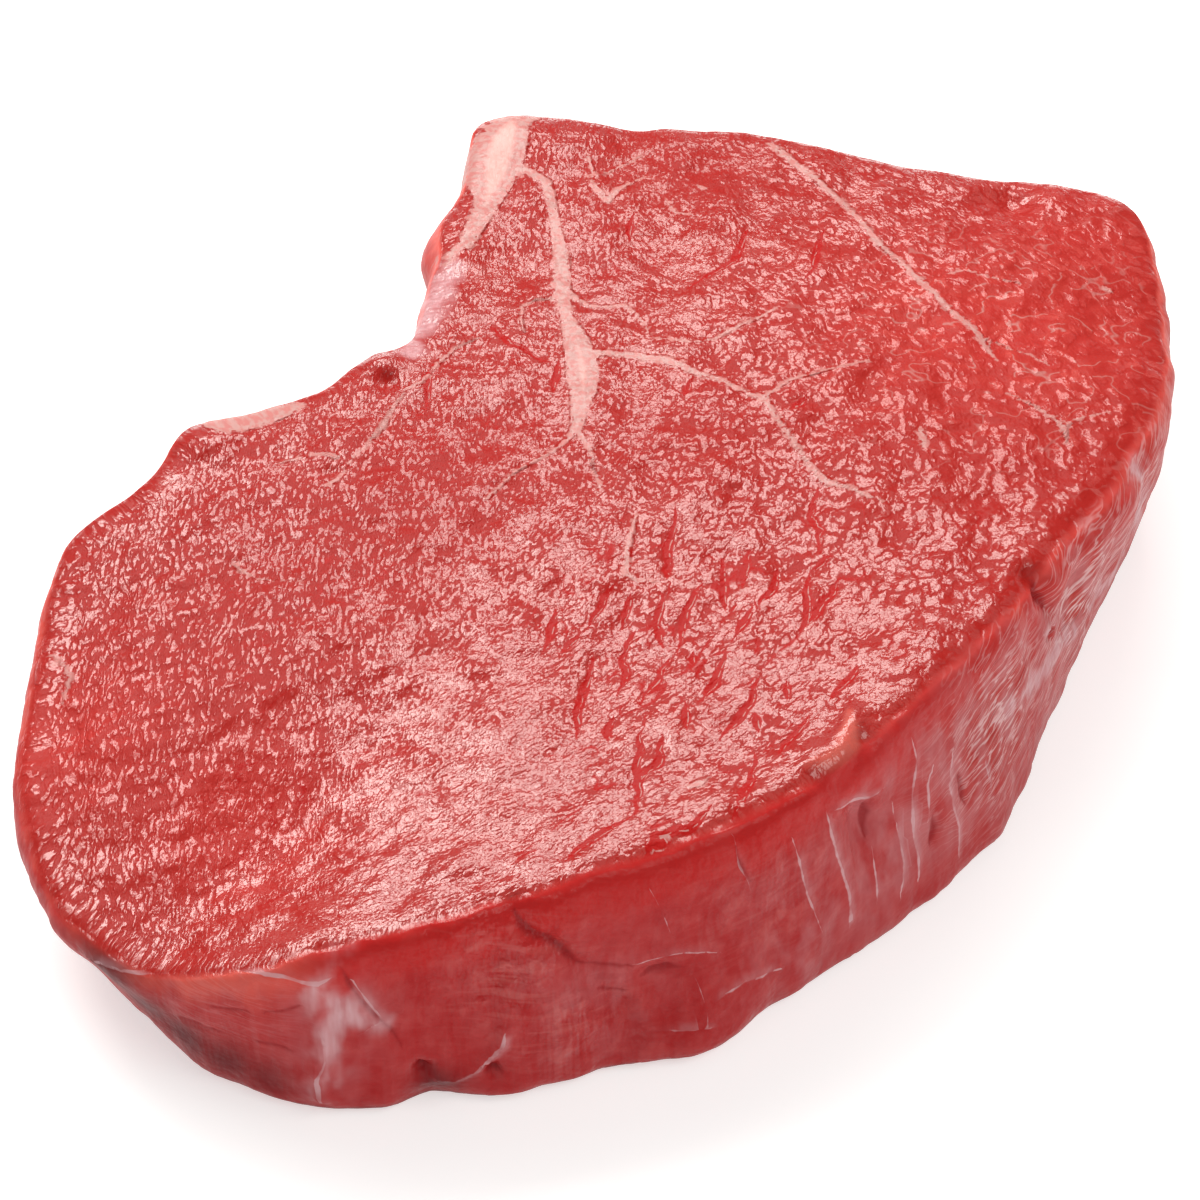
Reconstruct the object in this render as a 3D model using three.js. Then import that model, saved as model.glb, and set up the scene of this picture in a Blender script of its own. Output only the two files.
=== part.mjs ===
// A thick-cut top rump steak: one slice of raw beef, lying flat on its lower cut face.
// Millimetres, +Z up, +Y from the rounded front edge to the back corner with the fat.
// The origin is on the surface that the steak lies on, under the middle of its bounding box.

import * as THREE from "three";
import { ImprovedNoise } from "three/addons/math/ImprovedNoise.js";
import { mergeGeometries, mergeVertices } from "three/addons/utils/BufferGeometryUtils.js";

// Fineness of the mesh
const RINGS = 25; // rings of cells from the middle of the upper face to its rim
const CELLS = 2 * RINGS; // cells along each side of the upper face's grid
const COLUMNS = 4 * CELLS; // columns of cells round the wall
const SHOULDER_ROWS = 3; // rows round the upper edge
const FLANK_ROWS = 6; // rows down the wall
const HEEL_ROWS = 2; // rows round the lower edge
const WALL_ROWS = SHOULDER_ROWS + FLANK_ROWS + HEEL_ROWS;
const WELD = 0.001; // points closer than this are one

// The slice
const CUT_HEIGHT = 29; // height of the upper cut face over the middle of the slice
const RIM_REACH = 3; // power that keeps the rim's own height near the rim
const HEEL_RADIUS = 2.5; // rounding of the lower edge
const BELLY = 0.8; // how far the wall bulges halfway down

// Stations round the rim, anticlockwise from the front left:
// x, y, height of the rim, radius of the upper edge, how far the foot stands out beyond the rim
const STATIONS = [
  [-52.5, -75.5, 20, 3, -2.5],
  [-44, -79, 24, 2.5, -0.5],
  [-32, -79, 27.5, 2.5, 2],
  [-8.5, -73, 30, 2.5, 3.5],
  [19, -59, 31.5, 2.5, 3],
  [39.5, -36.5, 31.5, 3, 4.5],
  [52, -17.5, 30, 3.5, 0.5],
  [62.5, 0.5, 29, 4, -3],
  [70, 24, 27.5, 4, -2.5],
  [71, 45.5, 26.5, 4, -2],
  [68, 60.5, 26.5, 3, -1],
  [56.5, 65, 26.5, 2.5, 0],
  [43.5, 66, 27.5, 2.5, 0],
  [31, 69.5, 28, 2.5, 0],
  [17, 74, 28.5, 2.5, 0],
  [2, 75, 28.5, 2.5, 0],
  [-12, 77, 29, 2.5, 0],
  [-19, 75, 29, 2.5, 2],
  [-21.5, 62.5, 29, 2, 2.5],
  [-25, 45.5, 29, 2, 1.5],
  [-28, 27, 29, 2, 0.5],
  [-33.5, 22.5, 29, 2, 0],
  [-40, 16.5, 28.5, 2, 0],
  [-55, 9, 27.5, 2, 0],
  [-60, 1.5, 26.5, 3, 0],
  [-69, -6.5, 24.5, 4, 0],
  [-72, -25, 22.5, 5, 0],
  [-72, -49.5, 20, 6, -4],
  [-64, -66.5, 19, 4, -5.5],
];

// Swells and hollows: centre, reach, and how far the skin is pushed out there
const SWELLS = [
  { at: [-37.5, -61.5, 25.5], reach: 16, push: -2.5 }, // trough behind the front left corner
  { at: [-52.5, -46.5, 23.5], reach: 15, push: 1.2 }, // crown of the left lobe
  { at: [17, 2.5, 29], reach: 40, push: 1.3 }, // broad crown of the middle
  { at: [-7.5, 40, 29], reach: 8.5, push: -0.7 }, // sunk stretch of the fat seam
  { at: [-17, 71, 29], reach: 7.5, push: 1.2 }, // thick end of the fat at the back corner
  { at: [-25, 51, 22.5], reach: 5, push: 3.5 }, // knob below the fat
  { at: [8, -71, 3], reach: 7, push: 3.5 }, // lip that spreads out at the front foot
  { at: [-22.5, -79, 2], reach: 3, push: -3 }, // cleft in the front foot
  { at: [0, -71, 9.5], reach: 6.5, push: -1.5 }, // fold where two muscles meet
  { at: [29, -52, 17], reach: 5.5, push: -2 }, // dent in the front right wall
  { at: [54.5, -14.5, 22.5], reach: 4, push: -2 }, // nick under the right rim
  { at: [69, 20, 14], reach: 14, push: 1 }, // belly of the right wall
];

// Grain of the meat: furrows between bundles of fibres on the cut face, pleats in the skin of the wall
const FURROW_DEPTH = 0.55;
const FURROW_SPACING = 4.2;
const FURROW_LENGTH = 11;
const FURROW_TURN = THREE.MathUtils.degToRad(17); // furrows lean this far from +Y
const PLEAT_DEPTH = 0.7;
const PLEAT_SPACING = 4.7;
const PLEAT_LENGTH = 25;

const noise = new ImprovedNoise();

// The rim, and beside it the upper edge's radius and the foot's reach
const closedCurve = (points) => new THREE.CatmullRomCurve3(points, true, "centripetal");
const rimCurve = closedCurve(STATIONS.map(([x, y, height]) => new THREE.Vector3(x, y, height)));
const edgeCurve = closedCurve(STATIONS.map(([, , , radius, lean]) => new THREE.Vector3(radius, lean, 0)));
rimCurve.arcLengthDivisions = 4 * COLUMNS;

// The rim at a share of the way round it: its place, the way out from it, and the wall's edge sizes
function rimAt(share) {
  const t = rimCurve.getUtoTmapping(share % 1);
  const tangent = rimCurve.getTangent(t);
  const edge = edgeCurve.getPoint(t);
  return {
    point: rimCurve.getPoint(t),
    outward: new THREE.Vector3(tangent.y, -tangent.x, 0).normalize(),
    radius: edge.x,
    lean: edge.y,
  };
}

const rims = Array.from({ length: COLUMNS }, (_, column) => rimAt(column / COLUMNS));

// Sum of the swells' pushes on a point
function swellAt(point) {
  let push = 0;
  for (const swell of SWELLS) {
    const gap = point.distanceTo(new THREE.Vector3(...swell.at)) / swell.reach;
    push += swell.push * Math.exp(-gap * gap);
  }
  return push;
}

// Height of the furrowed cut face above its mean
function furrowAt(point) {
  const across = point.x * Math.cos(FURROW_TURN) - point.y * Math.sin(FURROW_TURN);
  const along = point.x * Math.sin(FURROW_TURN) + point.y * Math.cos(FURROW_TURN);
  return FURROW_DEPTH * noise.noise(across / FURROW_SPACING, along / FURROW_LENGTH, 0.5);
}

// How far the pleated wall stands out from its mean
function pleatAt({ x, y, z }) {
  return PLEAT_DEPTH * noise.noise(x / PLEAT_SPACING, y / PLEAT_SPACING, z / PLEAT_LENGTH);
}

// A square grid's point as rings round its middle: which ring, from 0 to 1, and the share of the way round
function ringAndShare(x, y) {
  const ring = Math.max(Math.abs(x), Math.abs(y));
  if (ring === 0) return { ring: 0, share: 0 };
  const [a, b] = [x / ring, y / ring];
  if (b === -1) return { ring, share: (a + 1) / 8 };
  if (a === 1) return { ring, share: (b + 3) / 8 };
  if (b === 1) return { ring, share: (5 - a) / 8 };
  return { ring, share: ((7 - b) / 8) % 1 };
}

// A point of the cut face: the grid's rings shrink from the upper edge's inner line to the origin
function cutFacePoint(gridX, gridY) {
  const { ring, share } = ringAndShare(gridX, gridY);
  const rim = rimAt(share);
  const innerLine = rim.point.clone().addScaledVector(rim.outward, -rim.radius);
  const height = THREE.MathUtils.lerp(CUT_HEIGHT, innerLine.z, ring ** RIM_REACH);
  const point = new THREE.Vector3(innerLine.x * ring, innerLine.y * ring, height);
  point.z += swellAt(point) + furrowAt(point);
  return point;
}

// A row of the wall's section: how far out from the rim, how high, and how far the skin faces out from up
function sectionAt(rim, row) {
  const shoulder = rim.point.z - rim.radius;
  const quarter = Math.PI / 2;
  if (row <= SHOULDER_ROWS) {
    const facing = (row / SHOULDER_ROWS) * quarter;
    const height = shoulder + rim.radius * Math.cos(facing);
    return { reach: rim.radius * (Math.sin(facing) - 1), height, facing };
  }
  if (row <= SHOULDER_ROWS + FLANK_ROWS) {
    const down = (row - SHOULDER_ROWS) / FLANK_ROWS;
    const reach = rim.lean * down + BELLY * Math.sin(Math.PI * down);
    return { reach, height: THREE.MathUtils.lerp(shoulder, HEEL_RADIUS, down), facing: quarter };
  }
  const turn = ((row - SHOULDER_ROWS - FLANK_ROWS) / HEEL_ROWS) * quarter;
  const reach = rim.lean - HEEL_RADIUS * (1 - Math.cos(turn));
  return { reach, height: HEEL_RADIUS * (1 - Math.sin(turn)), facing: quarter };
}

// A point of the wall, row 0 on the cut face's edge and the last row on the foot
function wallPoint(column, row) {
  const rim = rims[column % COLUMNS];
  const { reach, height, facing } = sectionAt(rim, row);
  const point = rim.point.clone().addScaledVector(rim.outward, reach).setZ(height);
  const swell = swellAt(point);
  const rise = (swell + furrowAt(point)) * Math.cos(facing);
  const push = (swell + pleatAt(point)) * Math.sin(facing);
  point.addScaledVector(rim.outward, push);
  point.z += rise;
  return point;
}

// Moves a grid's points to where pointOf puts them, and keeps nothing but places and triangles
function withPoints(geometry, pointOf) {
  const position = geometry.getAttribute("position");
  const uv = geometry.getAttribute("uv");
  for (let i = 0; i < position.count; i++) {
    const point = pointOf(uv.getX(i), uv.getY(i));
    position.setXYZ(i, point.x, point.y, point.z);
  }
  geometry.deleteAttribute("normal");
  geometry.deleteAttribute("uv");
  return geometry;
}

// Triangles of the square grid, each cell split along the diagonal that points to the middle
function splitTowardsMiddle() {
  const corner = (column, row) => column + row * (CELLS + 1);
  const triangles = [];
  for (let row = 0; row < CELLS; row++) {
    for (let column = 0; column < CELLS; column++) {
      const a = corner(column, row);
      const b = corner(column, row + 1);
      const c = corner(column + 1, row + 1);
      const d = corner(column + 1, row);
      const falling = column < RINGS === row < RINGS;
      triangles.push(...(falling ? [a, b, c, a, c, d] : [a, b, d, b, c, d]));
    }
  }
  return triangles;
}

function cutFace() {
  const grid = new THREE.PlaneGeometry(1, 1, CELLS, CELLS);
  grid.setIndex(splitTowardsMiddle());
  const step = (share) => Math.round(share * CELLS) / RINGS - 1;
  return withPoints(grid, (u, v) => cutFacePoint(step(u), step(v)));
}

function wall() {
  const band = new THREE.CylinderGeometry(1, 1, 1, COLUMNS, WALL_ROWS, true);
  const column = (u) => Math.round(u * COLUMNS);
  const row = (v) => Math.round((1 - v) * WALL_ROWS);
  return withPoints(band, (u, v) => wallPoint(column(u), row(v)));
}

function underside() {
  const foot = rims.map((_, column) => wallPoint(column, WALL_ROWS));
  const face = new THREE.ShapeGeometry(new THREE.Shape(foot.map((p) => new THREE.Vector2(p.x, p.y))));
  face.index.array.reverse();
  face.deleteAttribute("normal");
  face.deleteAttribute("uv");
  return face;
}

function steak() {
  const skin = mergeVertices(mergeGeometries([cutFace(), wall(), underside()]), WELD);
  skin.computeVertexNormals();
  skin.computeBoundingBox();
  const centre = skin.boundingBox.getCenter(new THREE.Vector3());
  skin.translate(-centre.x, -centre.y, 0);
  const rawBeef = new THREE.MeshStandardMaterial({ color: 0xc94a45, roughness: 0.35, metalness: 0 });
  const mesh = new THREE.Mesh(skin, rawBeef);
  mesh.name = "steak";
  return mesh;
}

const part = new THREE.Group();
part.add(steak());
export default part;
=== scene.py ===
"""A thick slice of raw top rump beef on a white floor, in soft studio light.

The slice is one closed mesh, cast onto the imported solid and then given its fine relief: bundles of
fibres, cracks between them, fat seams, pleats and skin on the wall. Lengths are in millimetres until the
mesh is made.
"""

import itertools
import math

import bmesh
import bpy
import numpy as np
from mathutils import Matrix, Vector
from mathutils.bvhtree import BVHTree


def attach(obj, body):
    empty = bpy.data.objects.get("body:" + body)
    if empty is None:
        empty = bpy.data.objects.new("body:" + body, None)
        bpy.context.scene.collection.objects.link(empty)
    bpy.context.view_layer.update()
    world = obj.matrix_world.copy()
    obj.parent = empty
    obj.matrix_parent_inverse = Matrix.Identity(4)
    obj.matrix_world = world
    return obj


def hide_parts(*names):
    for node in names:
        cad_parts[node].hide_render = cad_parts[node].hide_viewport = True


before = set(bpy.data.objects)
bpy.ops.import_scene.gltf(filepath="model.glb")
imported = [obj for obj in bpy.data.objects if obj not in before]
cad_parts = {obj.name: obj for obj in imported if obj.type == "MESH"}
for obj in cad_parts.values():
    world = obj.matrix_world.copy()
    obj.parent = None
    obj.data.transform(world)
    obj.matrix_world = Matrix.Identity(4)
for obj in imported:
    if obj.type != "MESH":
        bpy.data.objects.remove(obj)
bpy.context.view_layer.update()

MM = 0.001
TINY = 1e-9

# Camera, which also turns pixels of the photo into places on the meat
PHOTO_SIDE = 1200
LENS = 120.0
SENSOR = 36.0
CLIP = (0.01, 50.0)
CAMERA_RISE = math.radians(42.0)
CAMERA_DISTANCE = 488.4
CAMERA_AIM = np.array([-3.3, -17.5, 24.4])
FOCAL_PIXELS = LENS / SENSOR * PHOTO_SIDE
TOWARDS_CAMERA = np.array([0.0, -math.cos(CAMERA_RISE), math.sin(CAMERA_RISE)])
CAMERA_RIGHT = np.array([1.0, 0.0, 0.0])
CAMERA_UP = np.array([0.0, math.sin(CAMERA_RISE), math.cos(CAMERA_RISE)])
CAMERA_PLACE = CAMERA_AIM + TOWARDS_CAMERA * CAMERA_DISTANCE

# Mesh: a square grid over the cut face, a band round the wall, a coarser grid underneath
WELD = 0.001
SMOOTHING = 2
FACE_CELLS = 220
COLUMNS = 4 * FACE_CELLS
WALL_ROWS = 52
UNDER_STEP = 4
UNDER_CELLS = FACE_CELLS // UNDER_STEP
OUTLINE_RAYS = 4000
OUTLINE_HEIGHT = 13.0
OUTLINE_START = math.atan2(-75.5, -52.5)
FACE_SHARE = 0.87
UNDER_SHARE = 0.97
CUT_HEIGHT = 29.0

# How far above and beside the slice the rays that look for it start
RAY_HEIGHT = 100.0
RAY_REACH = 150.0

# How often the cut face's heights are averaged, and where, from the right, and how far it settles to that
SETTLING_PASSES = 60
SETTLING_START = (-15.0, -40.0)
SETTLING_SHARE = 0.7

# Grain: fibres run along the second grain coordinate, which turns and tightens towards the left
GRAIN_BEND = complex(-0.01085, -0.00328)
GRAIN_TURN = math.radians(12.0)

# Fat seams in the cut face: pixels of the photo, and the half width there in millimetres
SEAMS = {
    "corner": [(512, 122, 2.6), (503, 140, 3.6), (496, 170, 3.4), (486, 205, 1.9), (466, 243, 1.2)],
    "corner tip": [(512, 122, 1.6), (538, 119, 0.5)],
    "corner edge": [(486, 124, 2.2), (476, 145, 2.8), (470, 168, 2.8), (468, 190, 2.2), (472, 206, 1.2)],
    "knob ring": [(466, 243, 0.9), (454, 250, 0.8), (449, 262, 0.4)],
    "trunk": [
        (506, 165, 1.2), (528, 171, 0.9), (546, 182, 0.9), (551, 200, 0.8), (556, 230, 0.9), (562, 262, 1.2),
        (561, 285, 1.4), (566, 314, 0.9), (575, 336, 1.8), (580, 352, 2.1), (583, 372, 2.3), (583, 390, 1.9),
        (579, 407, 1.3), (577, 423, 1.0), (570, 436, 0.5), (553, 451, 0.35), (515, 472, 0.25),
        (487, 498, 0.4),
    ],
    "trunk tail": [(578, 430, 0.6), (590, 449, 0.4), (594, 469, 0.3), (600, 484, 0.4), (598, 492, 0.2)],
    "left branch": [(552, 298, 0.5), (534, 300, 0.35), (522, 306, 0.4), (521, 320, 0.3), (524, 332, 0.2)],
    "curl": [
        (570, 292, 0.5), (587, 304, 0.45), (600, 306, 0.4), (624, 303, 0.35), (637, 312, 0.35),
        (645, 322, 0.3), (650, 335, 0.2),
    ],
    "right branch": [
        (592, 350, 0.7), (620, 352, 0.75), (640, 354, 0.8), (663, 358, 0.8), (692, 370, 0.7), (715, 377, 0.6),
        (745, 391, 0.5), (763, 397, 0.7), (778, 420, 0.5), (790, 435, 0.6), (803, 454, 0.5), (814, 469, 0.6),
        (828, 481, 0.7), (849, 487, 0.5), (868, 496, 0.6), (880, 500, 0.2),
    ],
    "side vein": [(766, 394, 0.4), (790, 380, 0.35), (820, 372, 0.3), (868, 362, 0.2)],
    "upper vein": [
        (654, 336, 0.2), (686, 342, 0.3), (715, 338, 0.3), (734, 328, 0.5), (757, 318, 0.35), (780, 305, 0.2),
    ],
    "triangle": [
        (587, 177, 0.2), (599, 190, 0.6), (607, 200, 0.6), (619, 188, 0.5), (630, 183, 0.35), (642, 177, 0.2),
    ],
    "triangle vein": [(587, 155, 0.3), (595, 176, 0.3), (609, 171, 0.25), (640, 155, 0.3)],
    "check mark": [(666, 200, 0.2), (675, 212, 0.4), (690, 214, 0.2)],
    "back spot": [(700, 186, 0.4), (706, 188, 0.4)],
    "long seam": [
        (770, 143, 0.5), (782, 152, 0.8), (807, 172, 0.7), (824, 186, 0.6), (844, 203, 0.6), (861, 220, 0.5),
        (875, 239, 0.7), (897, 259, 0.45), (920, 281, 0.7), (948, 309, 0.5), (976, 332, 0.7), (987, 349, 0.5),
        (996, 360, 0.3),
    ],
    "long seam tail": [(976, 332, 0.3), (1002, 345, 0.25), (1050, 365, 0.15)],
    "right vein": [(1009, 394, 0.25), (1037, 408, 0.35), (1063, 425, 0.6), (1067, 440, 0.3)],
    "right vein arm": [(1063, 425, 0.4), (1077, 418, 0.3), (1108, 411, 0.2)],
    "back right vein": [(953, 273, 0.3), (965, 270, 0.25), (984, 276, 0.2), (1018, 284, 0.3)],
    "edge spot": [(1106, 286, 0.5), (1114, 288, 0.4)],
    "white spot": [(921, 432, 0.6), (924, 445, 0.6)],
    "left vein": [
        (478, 338, 0.3), (457, 347, 0.3), (440, 361, 0.4), (421, 382, 0.3), (407, 388, 0.3), (393, 407, 0.35),
        (383, 425, 0.6), (376, 433, 0.5), (365, 447, 0.3), (350, 461, 0.25), (339, 477, 0.25),
        (328, 484, 0.5),
    ],
    "far left vein": [(335, 456, 0.6), (322, 452, 0.35), (302, 456, 0.3), (278, 462, 0.2)],
    "left edge vein": [(234, 564, 0.3), (241, 569, 0.45), (257, 578, 0.15), (301, 580, 0.05)],
    "left dash": [(60, 653, 0.1), (70, 675, 0.5), (67, 688, 0.3), (64, 700, 0.1)],
    "notch edge": [(196, 443, 1.3), (225, 430, 1.8), (262, 419, 1.6), (300, 407, 0.8)],
    "middle vein": [(636, 515, 0.3), (628, 547, 0.45), (626, 574, 0.5), (637, 580, 0.4), (658, 580, 0.25)],
    "front star": [(690, 786, 0.4), (698, 783, 0.8), (707, 777, 0.3)],
}

# Fat seams that go down through the thickness of the slice, and how much wider they are on the wall
THROUGH = ("corner", "corner tip", "corner edge", "knob ring", "notch edge")
THROUGH_SPREAD = 1.6

# Cracks between bundles of fibres: half width, its shares at random, depth, and its share on the wall
CRACK_WIDTH = 0.65
CRACK_SHARES = (0.75, 1.15)
CRACK_DEPTH = 0.14
CRACK_WALL_SHARE = 0.3

# How far cracks wander, in how many steps on each stretch, and how far off their middle a glint lies
CRACK_WANDER = 0.16
CRACK_STEPS = 4
GLINT_OFFSET = 0.22

# Pixels of the cracks
CRACKS = {
    "middle": [
        [(677, 506), (667, 559), (666, 579)], [(612, 584), (588, 626)], [(632, 592), (620, 627)],
        [(701, 582), (686, 609), (679, 651)], [(749, 547), (744, 587)], [(754, 603), (732, 641)],
        [(722, 558), (725, 609)],
    ],
    "right": [
        [(819, 485), (811, 515), (817, 528), (819, 550)], [(832, 555), (811, 571)],
        [(843, 576), (827, 600), (800, 633)], [(861, 665), (829, 702)], [(808, 718), (778, 753)],
    ],
    "front": [
        [(556, 609), (544, 649)], [(669, 657), (640, 705)], [(727, 649), (714, 684), (701, 702)],
        [(757, 678), (746, 710), (719, 740)], [(612, 716), (606, 740)],
        [(644, 716), (636, 761), (640, 783), (634, 818)], [(662, 734), (659, 764), (642, 775)],
        [(687, 702), (685, 729)], [(757, 751), (746, 791), (730, 823)],
        [(628, 817), (591, 839), (569, 858)], [(674, 836), (644, 855)],
        [(594, 651), (580, 702), (576, 737)],
    ],
    "back": [
        [(748, 230), (734, 261), (687, 290)], [(633, 214), (628, 239)], [(807, 281), (824, 228)],
        [(490, 327), (513, 343), (548, 362)], [(558, 357), (553, 391)], [(692, 377), (684, 395)],
        [(807, 397), (793, 410)],
    ],
    "left": [
        [(429, 368), (426, 408)],
    ],
    "more middle": [
        [(663, 589), (657, 625), (663, 646)], [(778, 568), (772, 589), (759, 604)],
        [(809, 571), (807, 594), (809, 615), (799, 635)], [(694, 650), (691, 668)],
    ],
    "more front": [
        [(634, 630), (622, 656), (626, 672), (617, 692)],
        [(713, 805), (694, 824), (656, 835), (644, 851)], [(788, 681), (786, 697)],
        [(757, 713), (756, 730)], [(581, 633), (560, 650)],
    ],
}

# Small hollows, or bumps where negative: pixel, radius and depth in millimetres
PITS = {
    "left hole": (331, 471, 1.0, 0.5),
    "left crown": (179, 771, 15.0, 0.9),
    "notch knob": (385, 366, 2.4, -1.0),
    "wall hole": (1050, 633, 0.9, 1.2),
    "cleft": (424, 1071, 1.3, 1.6),
    "cleft corner": (493, 1071, 1.0, 1.2),
    "notch tip": (207, 443, 3.2, -1.1),
    "notch hollow": (389, 383, 1.4, 0.6),
    "middle hollow": (703, 450, 1.7, 0.4),
    "lower hollow": (734, 489, 1.5, 0.35),
    "edge nick": (1040, 592, 1.7, 1.9),
    "back dip": (1012, 198, 3.2, 1.5),
    "back bump": (1048, 198, 3.0, -0.9),
    "right shoulder": (1148, 330, 11.0, 0.9),
}

# Ranges of the normal and of the depth below the rim over which the rounded upper edge comes in
RIM_TILT = (0.99, 0.75)
RIM_DEPTH = (13.0, 3.0)

# How far that edge is pushed sideways to turn more sharply, and how much further at the left
RIM_PUSH = 0.9
LEFT_PUSH = 0.9
LEFT_START = (-35.0, -50.0)

# How much of the rim's paler colour, partly painted light on the upper wall, is lost along the back
BACK_RIM_LOSS = 0.75

# Where the bright red band under the front edge, partly painted light, starts, from the left
BAND_START = (-44.0, -31.0)

# How much deeper in a stroke a place between points of the mesh can lie than those points
STROKE_SLACK = 0.3

# How far round a stroke its field is worked out, and where on half a sine wave a pointed one starts
STROKE_MARGIN = 4.0
STROKE_END = 0.12

# Ranges of the normal over which a surface comes to face up or down, and a wall to face front or back
UP_TILT = (0.2, 0.6)
DOWN_TILT = (0.35, 0.8)
WALL_TURN = (-0.1, 0.5)

# Ranges across the edges of strokes, from outside to inside, over which their relief comes in
FAT_EDGE = (-0.3, 0.2)
CRACK_EDGE = (-0.35, 0.45)
FURROW_EDGE = (-0.4, 0.3)
PLEAT_EDGE = (-0.4, 0.2)

# Dent round the fat: depth, how far outside the edge its middle lies, and half width
FAT_DENT = 0.06
FAT_DENT_GAP = 0.1
FAT_DENT_WIDTH = 0.35

# Fine pale pleats and edges of film on the wall: pixels, and the half width there in millimetres
PLEAT_HEIGHT = 0.22
PLEATS = {
    "pleat 1": [(729, 829, 0.05), (734, 858, 0.16), (745, 877, 0.12), (752, 897, 0.05)],
    "pleat 2": [(789, 834, 0.06), (797, 859, 0.16), (807, 894, 0.18), (815, 915, 0.14), (823, 935, 0.06)],
    "pleat 3": [(822, 807, 0.08), (828, 833, 0.22), (841, 868, 0.2), (849, 896, 0.26), (851, 920, 0.3)],
    "pleat 3 right": [(870, 846, 0.06), (876, 885, 0.18), (877, 902, 0.12)],
    "pleat 4": [(891, 801, 0.08), (900, 837, 0.2), (904, 863, 0.22), (900, 898, 0.1)],
    "pleat 5": [
        (906, 733, 0.06), (911, 755, 0.2), (911, 794, 0.22), (915, 829, 0.24), (919, 853, 0.22),
        (919, 881, 0.14),
    ],
    "pleat 6": [(929, 764, 0.08), (925, 783, 0.18), (928, 803, 0.18), (930, 822, 0.1)],
    "pleat 7": [(950, 738, 0.08), (948, 785, 0.2), (954, 811, 0.24), (960, 831, 0.22), (960, 855, 0.14)],
    "pleat 8": [(985, 757, 0.1), (987, 775, 0.2), (989, 790, 0.1)],
    "arc": [(831, 807, 0.1), (850, 802, 0.26), (867, 796, 0.3), (880, 785, 0.12)],
    "upright fold": [(645, 881, 0.02), (654, 896, 0.08), (664, 917, 0.1), (670, 932, 0.02)],
    "seam": [(634, 964, 0.02), (654, 959, 0.09), (674, 953, 0.13), (703, 951, 0.13), (722, 953, 0.03)],
    "almond side": [(692, 972, 0.02), (697, 982, 0.07), (703, 997, 0.08), (709, 1019, 0.03)],
    "nub edge": [(645, 1032, 0.08), (679, 1030, 0.2), (703, 1028, 0.2), (722, 1027, 0.08)],
    "foot film": [(710, 1007, 0.08), (725, 995, 0.22), (744, 982, 0.26), (778, 967, 0.12)],
    "fold lip": [
        (504, 1030, 0.1), (503, 1044, 0.3), (492, 1056, 0.36), (480, 1067, 0.3), (466, 1073, 0.28),
        (438, 1077, 0.1),
    ],
    "lobe rim left": [(92, 949, 0.08), (112, 955, 0.22), (144, 962, 0.26), (180, 966, 0.12)],
    "lobe rim": [(236, 962, 0.1), (262, 964, 0.26), (285, 968, 0.3), (318, 976, 0.34), (332, 970, 0.12)],
    "membrane side": [
        (318, 1024, 0.08), (324, 1040, 0.24), (325, 1062, 0.2), (316, 1080, 0.26), (320, 1097, 0.4),
    ],
    "membrane edge": [(352, 975, 0.08), (368, 1000, 0.18), (384, 1021, 0.26), (366, 1030, 0.14)],
    "hole rim": [(1041, 640, 0.1), (1045, 630, 0.24), (1053, 625, 0.16)],
}

# Creases in the wall, dented and painted dark as shade: pixels, and the half width there in millimetres
FURROW_DEPTH = 0.35
FURROWS = {
    "muscle crease": [
        (514, 908, 0.1), (521, 924, 0.4), (536, 934, 0.55), (548, 937, 0.5), (560, 947, 0.45),
        (572, 959, 0.4), (579, 966, 0.2),
    ],
    "crease line": [(579, 966, 0.16), (603, 965, 0.2), (630, 966, 0.08)],
    "lower crease": [(602, 992, 0.05), (612, 993, 0.14), (624, 992, 0.05)],
    "pleat 1": [(731, 842, 0.05), (736, 858, 0.15), (747, 876, 0.08)],
    "almond": [(644, 976, 0.1), (655, 970, 0.45), (668, 968, 0.5), (680, 968, 0.2)],
    "right of pleat 3": [(866, 806, 0.3), (869, 818, 0.6), (868, 834, 0.3)],
    "right of pleat 6": [(934, 818, 0.2), (938, 830, 0.5), (936, 846, 0.2)],
    "left of pleat 8": [(958, 776, 0.3), (962, 790, 0.5), (964, 802, 0.2)],
    "nick": [(1032, 574, 0.3), (1040, 590, 0.7), (1049, 607, 0.4)],
    "wall hole": [(1047, 638, 0.3), (1051, 632, 0.5)],
    "lobe 1": [(216, 998, 0.05), (233, 1003, 0.22), (250, 1006, 0.06)],
    "lobe 2": [(268, 1008, 0.05), (284, 1006, 0.25), (300, 1002, 0.08)],
    "lobe 3": [(184, 1014, 0.05), (200, 1020, 0.25), (220, 1030, 0.06)],
    "lobe 4": [(255, 1042, 0.05), (275, 1046, 0.2), (293, 1052, 0.05)],
    "cleft": [(420, 1064, 0.1), (425, 1072, 0.5), (437, 1079, 0.2)],
    "cleft corner": [(488, 1076, 0.1), (494, 1070, 0.4), (500, 1074, 0.15)],
    "corner fold": [
        (340, 960, 0.05), (352, 985, 0.15), (372, 1012, 0.12), (392, 1030, 0.2), (402, 1046, 0.05),
    ],
}

# Pleats and creases at random down the walls that the photo hides: how many, and half width
HIDDEN_PLEATS = (12, 0.12)
HIDDEN_FURROWS = (12, 0.26)

# Their arc in degrees, points and wander in radians, and ranges of their top, drop and share of the width
HIDDEN_ARC = (25.0, 205.0)
HIDDEN_POINTS = 5
HIDDEN_WANDER = 0.006
HIDDEN_TOP = (15.0, 25.0)
HIDDEN_DROP = (7.0, 17.0)
HIDDEN_SHARES = (0.4, 1.1)

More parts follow.
